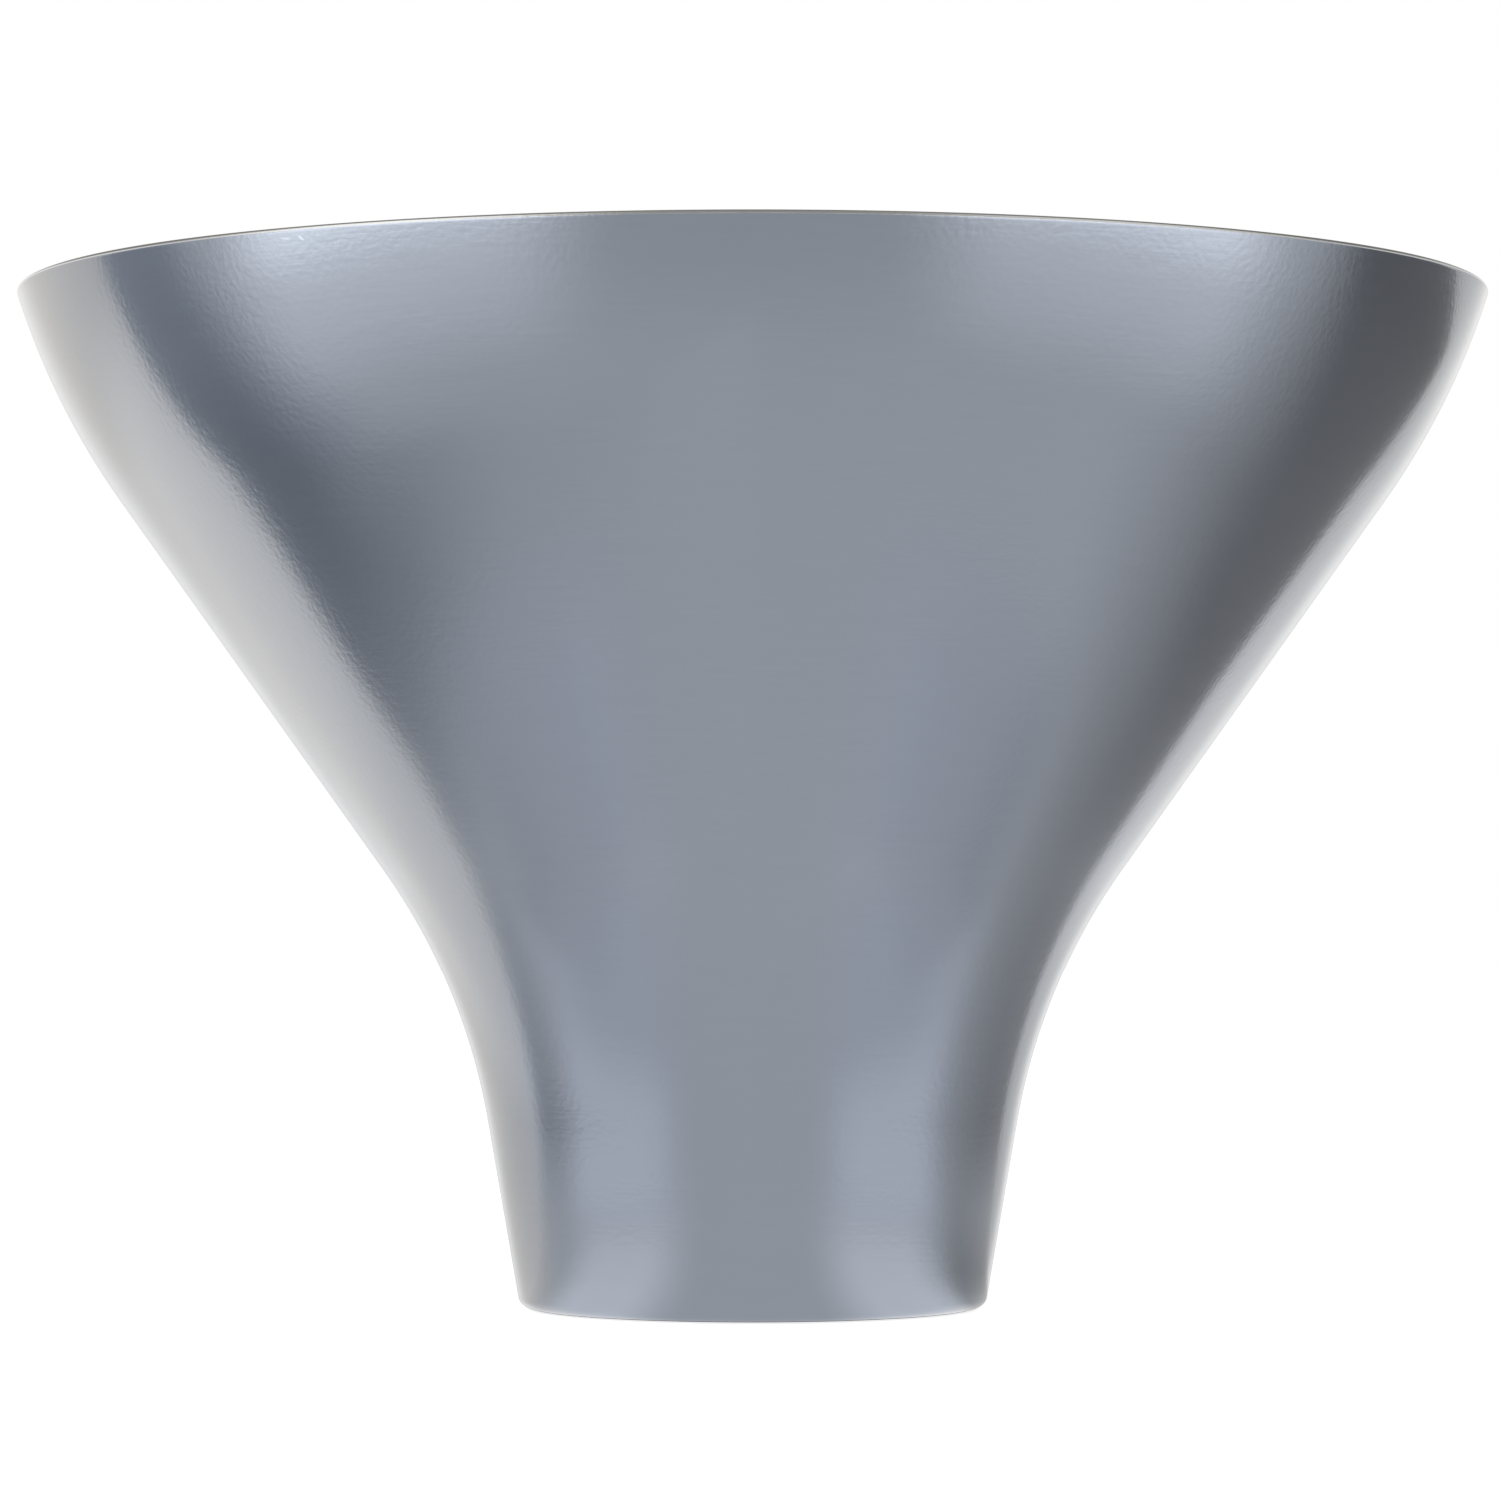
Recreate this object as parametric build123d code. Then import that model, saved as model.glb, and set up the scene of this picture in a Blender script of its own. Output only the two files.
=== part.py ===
from build123d import *
from math import atan2, cos, radians, sin, tan
import os

# Lampshade spun from one disc of sheet metal, wide end up.
# The origin is the middle of the foot's underside, and +Z is the shade's axis.

# Overall sizes, measured on the outside
rim_diameter = 300.0
overall_height = 206.5
foot_diameter = 95.0  # where the neck's side would meet the floor, without the rounded corner
wall = 1.0

# The side follows the spinner's tool path: a straight neck, a straight cone, and a mouth that
# curves up to the rim in one long arc
neck_angle = 9.9  # how far the neck leans out from upright, in degrees
throat_height = 66.0  # where the lines of the neck and the cone would cross
throat_blend = 28.4  # from that crossing to either end of the arc between them
rim_angle = 17.5  # how far the mouth still leans out from upright at the rim, in degrees
mouth_depth = 22.8  # from the rim down to where a line with that lean would cross the cone's

# Rounded corner between the floor and the neck, on the outside
foot_corner_radius = 2.5

# The rim is trimmed square to the sheet, and both its edges are broken
rim_edge_break = 0.35

# Hole in the floor for the lampholder's threaded skirt
lampholder_hole_diameter = 40.0


def blend_radius(before, corner, after, blend):
    """Radius of the arc that starts and ends at the distance blend from the corner."""
    way_in = atan2(corner[1] - before[1], corner[0] - before[0])
    way_out = atan2(after[1] - corner[1], after[0] - corner[0])
    return blend / tan(abs(way_out - way_in) / 2)


def outside_line():
    """Line along the outside of the sheet, from the floor's hole out and up to the rim."""
    neck_lean = radians(neck_angle)
    rim_lean = radians(rim_angle)
    hole_edge = (lampholder_hole_diameter / 2, 0)
    foot = (foot_diameter / 2, 0)
    throat = (foot[0] + throat_height * tan(neck_lean), throat_height)
    rim = (rim_diameter / 2, overall_height - wall * sin(rim_lean))
    shoulder = (rim[0] - mouth_depth * tan(rim_lean), rim[1] - mouth_depth)
    cone_way = (Vector(shoulder) - Vector(throat)).normalized()
    # The arc leaves the cone as far before the shoulder as the rim lies past it
    mouth_start = Vector(shoulder) - cone_way * (mouth_depth / cos(rim_lean))
    radii = [foot_corner_radius, blend_radius(foot, throat, shoulder, throat_blend)]
    foot_to_cone = FilletPolyline(hole_edge, foot, throat, mouth_start, radius=radii)
    mouth = TangentArc(mouth_start, rim, tangent=cone_way)
    return Wire(foot_to_cone.edges() + mouth.edges())


def shade():
    """The sheet's section, with an even wall and broken rim edges, turned about the axis."""
    section = make_face(outside_line().offset_2d(wall, side=Side.LEFT))
    rim_corners = section.vertices().sort_by(Axis.Y)[-2:]
    return revolve(Plane.XZ * chamfer(rim_corners, rim_edge_break), Axis.Z)


os.makedirs("parts", exist_ok=True)
export_step(shade(), "parts/shade.step")
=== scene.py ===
import bpy
from math import atan2, cos, pi, radians, sin, tan
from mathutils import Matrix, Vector


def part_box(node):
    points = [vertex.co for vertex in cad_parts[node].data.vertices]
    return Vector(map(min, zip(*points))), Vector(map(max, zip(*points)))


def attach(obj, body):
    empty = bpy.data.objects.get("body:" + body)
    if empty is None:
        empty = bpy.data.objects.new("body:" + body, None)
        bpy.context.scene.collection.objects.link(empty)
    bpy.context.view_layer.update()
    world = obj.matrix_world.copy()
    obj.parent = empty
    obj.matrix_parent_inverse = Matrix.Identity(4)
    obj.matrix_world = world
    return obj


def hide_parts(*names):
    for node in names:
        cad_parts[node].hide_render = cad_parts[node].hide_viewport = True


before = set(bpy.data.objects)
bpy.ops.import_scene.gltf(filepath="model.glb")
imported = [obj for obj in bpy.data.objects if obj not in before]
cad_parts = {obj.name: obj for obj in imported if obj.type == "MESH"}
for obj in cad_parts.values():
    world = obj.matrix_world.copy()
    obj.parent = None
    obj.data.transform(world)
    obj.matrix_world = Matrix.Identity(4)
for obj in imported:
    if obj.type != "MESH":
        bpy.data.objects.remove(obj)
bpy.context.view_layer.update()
bpy.ops.object.select_all(action="DESELECT")        # the loaded nodes come in selected


# Shader maths written as expressions: a Socket is one output, and + - * / on it add Math nodes
class Socket:
    def __init__(self, shader, out):
        self.shader, self.out = shader, out

    def maths(self, operation, *others):
        values = dict(enumerate((self, *others)))
        return self.shader.node("ShaderNodeMath", {"operation": operation}, values)

    def __add__(self, other):
        return self.maths("ADD", other)

    def __sub__(self, other):
        return self.maths("SUBTRACT", other)

    def __rsub__(self, other):
        return self.shader.number(other).maths("SUBTRACT", self)

    def __mul__(self, other):
        return self.maths("MULTIPLY", other)

    def __truediv__(self, other):
        return self.maths("DIVIDE", other)

    __radd__ = __add__
    __rmul__ = __mul__

    def above(self, other):
        return self.maths("GREATER_THAN", other)

    def below(self, other):
        return self.maths("LESS_THAN", other)

    def pick(self, name):                            # another output of the same node
        return Socket(self.shader, self.out.node.outputs[name])

    def fade(self, start, end):                      # 0 at start, 1 at end, eased
        return self.shader.node("ShaderNodeMapRange", {"interpolation_type": "SMOOTHSTEP"},
                                {"Value": self, "From Min": start, "From Max": end})

    def along(self, stops):                          # a curve through (place, value) stops
        low, high = stops[0][0], stops[-1][0]
        share = (self - low) / (high - low)
        coloured = isinstance(stops[0][1], tuple)
        peak = 1 if coloured else max(value for place, value in stops)
        evened = [((place - low) / (high - low), value if coloured else value / peak)
                  for place, value in stops]
        curve = self.shader.node("ShaderNodeValToRGB", {"stops": evened}, {"Fac": share})
        return curve if coloured else curve * peak


class Shader:
    def __init__(self, owner):
        owner.use_nodes = True
        self.tree = owner.node_tree
        self.tree.nodes.clear()

    def node(self, kind, settings=None, sockets=None):
        made = self.tree.nodes.new(kind)
        for name, value in (settings or {}).items():
            if name == "stops":
                setStops(made.color_ramp, value)
            else:
                setattr(made, name, value)
        for name, value in (sockets or {}).items():
            if isinstance(value, Socket):
                self.tree.links.new(value.out, made.inputs[name])
            else:
                made.inputs[name].default_value = value
        return Socket(self, made.outputs[0]) if made.outputs else made

    def number(self, value):
        made = self.tree.nodes.new("ShaderNodeValue")
        made.outputs[0].default_value = value
        return Socket(self, made.outputs[0])


def setStops(ramp, stops):                           # stops are (place, grey) or (place, colour)
    while len(ramp.elements) > 1:
        ramp.elements.remove(ramp.elements[-1])
    for count, (place, tone) in enumerate(stops):
        element = ramp.elements[0] if count == 0 else ramp.elements.new(place)
        element.position = place
        element.color = (*tone, 1) if isinstance(tone, tuple) else (tone, tone, tone, 1)


# The shade: one sheet, drawn up ring by ring as on a lathe
shade = {
    "around": 320,                # points in each ring
    "wall": .001,
    "holeRadius": .020,
    "footRadius": .0475,          # where the neck's side would meet the floor
    "footCorner": .0025,
    "neckLean": radians(9.9),
    "throatHeight": .066,         # where the lines of neck and cone cross
    "throatBlend": .0284,
    "rimLean": radians(17.5),
    "mouthDepth": .0228,          # from the rim down to where that lean would cross the cone's line
    "straightRings": (4, 6, 12),  # floor, neck, cone
    "bendRings": (8, 26, 24),     # foot corner, throat, mouth
    "rimRounding": (.00062, .00028),     # outer edge, inner edge
    "rimReturn": .6,              # how much of what the rounding takes off the radius is added first
    "rimSpare": 1e-5,             # and how far the rim stays below the solid's top
    "holeRounding": .00012,
    "roundingSteps": 6,
    "sharpFrom": radians(60),     # edges that bend more than this are rounded
    "support": .0003,             # a ring this far before a rounded edge keeps the shading flat
    "weld": 1e-6,                 # points nearer than this become one
}


# The (radius, height) of every ring from the hole to the rim
def lathePath(s, rimRadius, rimHeight):
    rim = Vector((rimRadius, rimHeight - s["wall"] * sin(s["rimLean"])))
    foot = Vector((s["footRadius"], 0))
    corners = [
        Vector((s["holeRadius"], 0)),
        foot,
        foot + s["throatHeight"] * Vector((tan(s["neckLean"]), 1)),
        rim - s["mouthDepth"] * Vector((tan(s["rimLean"]), 1)),
        rim,
    ]
    ways = [(b - a).normalized() for a, b in zip(corners, corners[1:])]
    turns = [atan2(a.cross(b), a.dot(b)) for a, b in zip(ways, ways[1:])]
    blends = [s["footCorner"] * tan(turns[0] / 2), s["throatBlend"], (rim - corners[3]).length]
    path = [corners[0], corners[0] + Vector((s["holeRounding"] + s["support"], 0))]
    for k, (turn, blend) in enumerate(zip(turns, blends)):
        start, end = path[-1], corners[k + 1] - ways[k] * blend
        rings = s["straightRings"][k]
        path += [start.lerp(end, (n + 1) / rings) for n in range(rings)]
        radius = blend / tan(abs(turn) / 2)
        side = Vector((-ways[k].y, ways[k].x)) * (1 if turn > 0 else -1)
        rings = s["bendRings"][k]
        for n in range(rings):
            angle = abs(turn) * (n + 1) / rings
            path.append(end + radius * (sin(angle) * ways[k] + (1 - cos(angle)) * side))
    before, last = path[-2:]
    path.insert(-1, last.lerp(before, (s["rimRounding"][0] + s["support"]) / (last - before).length))
    return path


def roundEdges(piece, s, low, high, width):          # rounds the sharp edges between two heights
    bpy.ops.object.mode_set(mode="EDIT")
    bpy.ops.mesh.select_mode(type="EDGE")
    bpy.ops.mesh.select_all(action="DESELECT")
    bpy.ops.mesh.edges_select_sharp(sharpness=s["sharpFrom"])
    bpy.ops.object.mode_set(mode="OBJECT")
    points = piece.data.vertices
    for edge in piece.data.edges:
        edge.select = edge.select and all(low < points[n].co.z < high for n in edge.vertices)
    bpy.ops.object.mode_set(mode="EDIT")
    bpy.ops.mesh.bevel(offset=width, segments=s["roundingSteps"], profile=.5, affect="EDGES")
    bpy.ops.object.mode_set(mode="OBJECT")


def spinShade(s):
    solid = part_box("shade")[1]
    outer, inner = s["rimRounding"]
    loss = sin(s["rimLean"]) + cos(s["rimLean"]) - 1     # share of a rounding that comes off the size
    rimRadius = min(solid.x, solid.y) + outer * loss * s["rimReturn"]
    path = lathePath(s, rimRadius, solid.z + inner * loss - s["rimSpare"])
    bpy.ops.mesh.primitive_circle_add(vertices=s["around"], radius=path[0].x, location=(0, 0, 0))
    piece = bpy.context.object
    piece.name = "lampshade"
    bpy.ops.object.mode_set(mode="EDIT")
    for before, ring in zip(path, path[1:]):
        bpy.ops.mesh.extrude_region_move(TRANSFORM_OT_translate={"value": (0, 0, ring.y - before.y)})
        scale = ring.x / before.x
        bpy.ops.transform.resize(value=(scale, scale, 1), center_override=(0, 0, ring.y))
    bpy.ops.mesh.select_all(action="SELECT")
    bpy.ops.mesh.remove_doubles(threshold=s["weld"])
    bpy.ops.mesh.normals_make_consistent(inside=False)
    bpy.ops.object.mode_set(mode="OBJECT")
    darkSide = piece.modifiers.new("wall", "SOLIDIFY")
    darkSide.thickness, darkSide.offset = s["wall"], -1
    darkSide.use_even_offset = darkSide.use_quality_normals = True
    bpy.ops.object.modifier_apply(modifier="wall")
    between = path[-1].y + s["wall"] * sin(s["rimLean"]) / 2        # halfway across the trimmed edge
    roundEdges(piece, s, solid.z / 2, between, outer)
    roundEdges(piece, s, between, solid.z + s["wall"], inner)
    roundEdges(piece, s, -s["wall"], s["wall"] * 2, s["holeRounding"])
    bpy.ops.object.shade_smooth()
    print("shade spun,", len(piece.data.polygons), "faces")
    return piece


# Satin metallic lacquer, blue-grey, over spun metal
lacquer = {
    "colour": (.269, .304, .371),
    "metal": .96,
    "rough": .165,
    "roughLines": .06,            # how much the level lines change the roughness
    "roughClouds": (45, .04),     # and soft clouds: how fine, and how much
    "coat": .5,
    "coatRough": .07,
    "rimHighlightPaint": ((.74, .75, .76), .20562, .20578),    # painted highlight: a light colour on the top of the rim for its highlight line, coming in between these heights
    "peel": (800, 3.2e-5),        # orange peel: how fine, and how deep in metres
    "drawn": ((90, 90, 1500), 1.4e-5, .035),   # fine level lines: stretch, depth, share in the colour
    "swell": ((7, 7, 160), 1.2e-5),            # slow rings left by the spinner's roller
    "nibs": (120, .08, .00024, 3.5e-5),        # dust in the lacquer: cells a metre, share, radius, height
    "nicks": (                    # turn round the rim in degrees, height, tilt, size, strength
        (-33.7, .20435, 38, (.00100, .002, .00040), .5),
        (-35.1, .20440, 8, (.00150, .002, .00036), .25),
    ),
    "nickCore": .3,               # a nick is whole over this share of its size, and fades from there out
    "nickDepth": 2.5e-5,
    "nickRough": .15,
    "nickColour": ((.75, .78, .84), .55),  # colour, and how much of it
}


def makeLacquer(s):
    material = bpy.data.materials.new("blueGreyLacquer")
    sh = Shader(material)
    place = sh.node("ShaderNodeTexCoord").pick("Object")

    def noise(vector, scale, detail, rough=.5):
        return sh.node("ShaderNodeTexNoise", {}, {
            "Vector": vector,
            "Scale": scale,
            "Detail": detail,
            "Roughness": rough,
        })

    def stretched(scale):
        return sh.node("ShaderNodeMapping", {}, {"Vector": place, "Scale": scale})

    fine, depth = s["peel"]
    height = (noise(place, fine, detail=1.5) - .5) * depth
    stretch, depth, grain = s["drawn"]
    drawn = noise(stretched(stretch), 1, detail=3, rough=.6) - .5
    height = height + drawn * depth
    stretch, depth = s["swell"]
    height = height + (noise(stretched(stretch), 1, detail=1) - .5) * depth

    cells, share, radius, depth = s["nibs"]
    cell = sh.node("ShaderNodeTexVoronoi", {}, {"Vector": place, "Scale": cells, "Randomness": 1})
    chance = sh.node("ShaderNodeSeparateColor", {}, {"Color": cell.pick("Color")}).pick("Red")
    nib = (cell.pick("Distance") / cells).fade(radius, 0) * chance.below(share)
    height = height + nib * depth

    scuff = 0
    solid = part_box("shade")[1]
    for turn, up, tilt, size, strength in s["nicks"]:
        reach = solid.x - (solid.z - up) * tan(shade["rimLean"])
        spot = sh.node("ShaderNodeMapping", {"vector_type": "TEXTURE"}, {
            "Vector": place,
            "Location": (reach * sin(radians(turn)), -reach * cos(radians(turn)), up),
            "Rotation": (0, radians(tilt), radians(turn)),
            "Scale": size,
        })
        reached = sh.node("ShaderNodeVectorMath", {"operation": "LENGTH"}, {0: spot}).pick("Value")
        scuff = reached.fade(1, s["nickCore"]) * strength + scuff
    height = height - scuff * s["nickDepth"]
    normal = sh.node("ShaderNodeBump", {}, {"Height": height, "Strength": 1, "Distance": 1})

    fine, spread = s["roughClouds"]
    clouds = (noise(place, fine, detail=3) - .5) * spread
    rough = s["rough"] + drawn * s["roughLines"] + clouds + scuff * s["nickRough"]
    red, green, blue = s["colour"]
    grained = sh.node("ShaderNodeMix", {"data_type": "RGBA"}, {
        "Factor": drawn + .5,
        6: (red * (1 - grain), green * (1 - grain), blue * (1 - grain), 1),
        7: (red * (1 + grain), green * (1 + grain), blue * (1 + grain), 1),
    }).pick(2)
    # Painted highlight: the top of the rim turns to a light colour to stand in for its highlight line
    rimLight, start, full = s["rimHighlightPaint"]
    edged = sh.node("ShaderNodeMix", {"data_type": "RGBA"}, {
        "Factor": sh.node("ShaderNodeSeparateXYZ", {}, {"Vector": place}).pick("Z").fade(start, full),
        6: grained,
        7: (*rimLight, 1),
    }).pick(2)
    scuffed, share = s["nickColour"]
    colour = sh.node("ShaderNodeMix", {"data_type": "RGBA"}, {
        "Factor": scuff.maths("MINIMUM", 1) * share,
        6: edged,
        7: (*scuffed, 1),
    }).pick(2)
    shader = sh.node("ShaderNodeBsdfPrincipled", {}, {
        "Base Color": colour,
        "Metallic": s["metal"],
        "Roughness": rough,
        "Normal": normal,
        "Coat Weight": s["coat"],
        "Coat Roughness": s["coatRough"],
    })
    sh.node("ShaderNodeOutputMaterial", {}, {"Surface": shader})
    print("lacquer mixed")
    return material


# Studio: a glowing table with painted light and shade on it, darker on either side, and soft screens and
# lamps all round, as the lacquer mirrors them. A turn of 0 is in front, 90 to the right and 180 behind; a
# rise of 0 is level. Out is the distance to the side of the shade's axis and back the distance behind it,
# in metres
studio = {
    "around": (                   # turn and glow of the screens that stand around
        (-180, .70), (-171, 1.12), (-164, 1.34), (-157, 1.30), (-150, 1.24), (-135, 1.32), (-108, 1.32),
        (-96, 1.0), (-72, .90), (72, .90), (96, .98), (108, 1.03), (150, 1.0), (157, 1.12), (164, 1.36),
        (171, 1.15), (180, .75),
    ),
    "lamps": (                    # turn, reach to either side, and the glow at some rises
        (-62, (8, 46), ((-34, 0), (-22, .28), (-2, .28), (1, .95), (50, .95), (60, 0))),
        (62, (8, 46), ((-34, 0), (-22, .28), (-2, .28), (1, .45), (50, .45), (60, 0))),
    ),
    "behind": (80, 115),          # between these turns the front gives way to what is behind
    "darkTop": (4, 26, .22),      # behind, the screens fade between these rises to so much of their glow
    "frontTop": (-2, 3, .33),     # and in front between these
    "tints": (                    # turn and colour of the screens
        (-180, (1, 1, 1)), (-162, (1, .985, .96)), (-148, (1.0, .945, .86)), (-118, (1.0, .94, .85)),
        (-100, (1, 1, 1)), (100, (1, 1, 1)),
        (140, (1, .975, .94)), (160, (1, .985, .96)), (180, (1, 1, 1)),
    ),
    "highTint": ((1, .98, .95), -1, 3),    # colour above these rises
    "lowScreens": (-18, -9, .79),          # behind, between these rises they also fade to so much
    "steep": (-36, -43, (         # far down, between these rises, they fade to a share for each turn
        (60, 1.0), (77, .90), (90, .82), (103, .63), (112, .60), (125, 1.0),
    )),
    "size": 12,                   # of the table and the floor, which lie at these heights
    "tableHeight": -.0001,
    "floorHeight": -.0003,
    "table": ((.10, .90), (.27, .87), (.45, .76)),         # distance in front, and painted glow
    "tint": (1.01, .99, .95),     # colour of the table
    "flanks": (52, (16, 34), (    # painted light: a brighter table on both sides, standing in for the lamps: turn, reach, and distance with glow
        (.30, 0), (.36, .20), (.41, .33), (.47, .42), (.53, .52), (.57, .75), (.61, 1.0), (.66, 1.25),
        (.80, 1.6),
    )),
    # Likewise the glints beside the foot, and the gaps where the table is open to the lamps
    "glints": (46, (8, 30), ((.05, .48), (.08, .42), (.10, .24), (.12, 0))),
    "gaps": (50, (14, 34), ((.09, 0), (.12, 1), (.165, 1), (.20, 0))),
    # Behind the dark sides the table is gone but for a thin share near the shade, a painted shadow of the
    # shade:
    # from and to which radius it comes in, its share and its glow
    "shadowNearShade": (.30, .20, .11, .5),
    "tintOut": (.10, .34),        # a dark side takes on its own colour between these distances out
    "backStart": .03,             # a dark side's back edge counts from this far in front of the axis
    "darkSides": (
        {
            "side": -1,
            "tint": (.94, .99, 1.05),
            "flank": 1.1,         # share of the flank's glow on this side
            "glow": (             # out, and glow
                (0, .90), (.05, .89), (.09, .84), (.14, .79), (.16, .70), (.20, .49), (.24, .36),
                (.28, .32), (.34, .33), (.50, .41), (.90, .46),
            ),
            "backEdge": (         # out, and back
                (0, .004), (.143, .040), (.19, .041), (.225, .058), (.26, .071), (.30, .083),
                (1.3, .612),
            ),
            "backSoft": .018,
            "frontEdge": ("MINIMUM", (.20, -.145), (1.0, -.34)),      # of two lines: slope and start
            "frontSoft": (2.5, .07),       # how fast the soft border widens outwards, and the widest
        },
        {
            "side": 1,
            "tint": (1.07, 1.03, .99),
            "flank": .9,
            "glow": (
                (0, .90), (.03, .90), (.06, .50), (.075, .46), (.10, .54), (.125, .60), (.15, .55),
                (.18, .46), (.22, .37), (.28, .28), (.40, .24), (.60, .22), (.90, .19),
            ),
            "backEdge": ((0, .010), (.295, .275), (.60, .721), (1.3, 1.95)),
            "backSoft": .018,
            "frontEdge": ("MAXIMUM", (-.10, -.012), (.20, -.10)),
            "frontSoft": (2.5, .13),
        },
    ),
    "footShadow": (.046, .10),    # radius and glow of the table under the foot
    "floorColour": (.8, .8, .8),
    "floorGlow": .82,
}


# The table glows though it is no lamp: light and shade are painted on it, with a brighter front and
# flanks, glints by the foot, and painted shadows near the shade and under the foot
def layTable(s):                                     # only the lacquer sees it, as a mirror does
    bpy.ops.mesh.primitive_plane_add(size=s["size"], location=(0, 0, s["tableHeight"]))
    table = bpy.context.object
    table.name = "mirroredTable"
    material = bpy.data.materials.new("mirroredTable")
    sh = Shader(material)
    place = sh.node("ShaderNodeTexCoord").pick("Object")
    axes = sh.node("ShaderNodeSeparateXYZ", {}, {"Vector": place})
    x, y = axes.pick("X"), axes.pick("Y")
    out = x.maths("ABSOLUTE")
    radius = sh.node("ShaderNodeVectorMath", {"operation": "LENGTH"}, {0: place}).pick("Value")
    turn = out.maths("ARCTAN2", y * -1) * (180 / pi)

    def shine(angle, reach, stops):                  # a patch of light to either side
        return (turn - angle).maths("ABSOLUTE").fade(reach[1], reach[0]) * radius.along(stops)

    def edge(choice, near, far):                     # a border of two straight stretches
        return (out * near[0] + near[1]).maths(choice, out * far[0] + far[1])

    front = (y * -1).along(s["table"])
    flanks = shine(*s["flanks"])
    glow, cover, tone = 0, 0, (*s["tint"], 1)
    # The glowing table darkens on either side, with soft front and back edges
    for darkSide in s["darkSides"]:
        growth, most = darkSide["frontSoft"]
        soft = (out * out * growth).maths("MINIMUM", most)
        inside = ((y - edge(*darkSide["frontEdge"])) / soft).fade(-1, 1)
        lit = front + flanks * darkSide["flank"]
        lit = lit + (out.along(darkSide["glow"]) - lit) * inside
        here = (x * darkSide["side"]).above(0)
        glow = lit * here + glow
        tone = sh.node("ShaderNodeMix", {"data_type": "RGBA"}, {
            "Factor": inside * here * out.fade(*s["tintOut"]),
            6: tone,
            7: (*darkSide["tint"], 1),
        }).pick(2)
        beyond = y + s["backStart"] - out.along(darkSide["backEdge"])
        cover = beyond.fade(darkSide["backSoft"], -darkSide["backSoft"]) * here + cover
    glow = glow + shine(*s["glints"])
    # Painted shadow: near the shade the table still dims what lies behind it
    start, full, share, pale = s["shadowNearShade"]
    glow = pale + (glow - pale) * cover
    cover = cover.maths("MAXIMUM", radius.fade(start, full) * share) * (1 - shine(*s["gaps"]))
    reach, shadow = s["footShadow"]
    under = radius.below(reach)
    glow = glow + (shadow - glow) * under
    cover = cover.maths("MAXIMUM", under)
    lit = sh.node("ShaderNodeEmission", {}, {"Color": tone, "Strength": glow})
    clear = sh.node("ShaderNodeBsdfTransparent")
    both = sh.node("ShaderNodeMixShader", {}, {"Fac": cover, 1: clear, 2: lit})
    sh.node("ShaderNodeOutputMaterial", {}, {"Surface": both})
    table.data.materials.append(material)
    table.visible_camera = table.visible_diffuse = table.visible_shadow = False
    table.visible_transmission = table.visible_volume_scatter = False


def lightStudio(s):
    world = bpy.data.worlds.new("studio")
    bpy.context.scene.world = world
    sh = Shader(world)
    ray = sh.node("ShaderNodeTexCoord").pick("Generated")
    axes = sh.node("ShaderNodeSeparateXYZ", {}, {"Vector": ray})
    turn = axes.pick("X").maths("ARCTAN2", axes.pick("Y") * -1) * (180 / pi)
    rise = axes.pick("Z").maths("ARCSINE") * (180 / pi)
    aside = turn.maths("ABSOLUTE")
    behind = aside.fade(*s["behind"])
    low, high, left = s["darkTop"]
    glow = turn.along(s["around"]) * (1 - behind * rise.fade(low, high) * (1 - left))
    low, high, left = s["frontTop"]
    glow = glow * (1 - (1 - behind) * rise.fade(low, high) * (1 - left))
    low, high, left = s["lowScreens"]
    glow = glow * (1 - behind * rise.fade(low, high) * (1 - left))
    for angle, (core, edge), stops in s["lamps"]:
        glow = glow + (turn - angle).maths("ABSOLUTE").fade(edge, core) * rise.along(stops)
    start, full, shares = s["steep"]
    glow = glow * (1 - rise.fade(start, full) * (1 - aside.along(shares)))
    highTint, start, full = s["highTint"]
    tint = sh.node("ShaderNodeMix", {"data_type": "RGBA"}, {
        "Factor": rise.fade(start, full),
        6: turn.along(s["tints"]),
        7: (*highTint, 1),
    }).pick(2)
    mirrored = sh.node("ShaderNodeBackground", {}, {"Color": tint, "Strength": glow})
    backdrop = sh.node("ShaderNodeBackground", {}, {"Color": (1, 1, 1, 1), "Strength": 1})
    seen = sh.node("ShaderNodeLightPath").pick("Is Camera Ray")
    both = sh.node("ShaderNodeMixShader", {}, {"Fac": seen, 1: mirrored, 2: backdrop})
    sh.node("ShaderNodeOutputWorld", {}, {"Surface": both})

    layTable(s)
    bpy.ops.mesh.primitive_plane_add(size=s["size"], location=(0, 0, s["floorHeight"]))
    floor = bpy.context.object
    floor.name = "paleFloor"
    paint = bpy.data.materials.new("palePaint")
    sh = Shader(paint)
    pale = sh.node("ShaderNodeBsdfPrincipled", {}, {
        "Base Color": (*s["floorColour"], 1),
        "Roughness": 1,
        "Specular IOR Level": 0,
        "Emission Color": (1, 1, 1, 1),
        "Emission Strength": s["floorGlow"],
    })
    sh.node("ShaderNodeOutputMaterial", {}, {"Surface": pale})
    floor.data.materials.append(paint)
    floor.visible_glossy = False
    print("studio lit")


# The photograph's view: level with the lower half, looking up a little
camera = {
    "away": 1.1605,
    "height": .0819,
    "tiltUp": radians(1.568),
    "turnLeft": radians(.027),
    "lens": 136.0,
}


def placeCamera(s):
    bpy.ops.object.camera_add(location=(0, -s["away"], s["height"]),
                              rotation=(pi / 2 + s["tiltUp"], 0, s["turnLeft"]))
    bpy.context.object.data.lens = s["lens"]
    bpy.context.scene.camera = bpy.context.object
    print("camera placed")


piece = spinShade(shade)
piece.data.materials.append(makeLacquer(lacquer))
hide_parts("shade")
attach(piece, "root")
lightStudio(studio)
placeCamera(camera)
bpy.context.scene.view_settings.view_transform = "Standard"
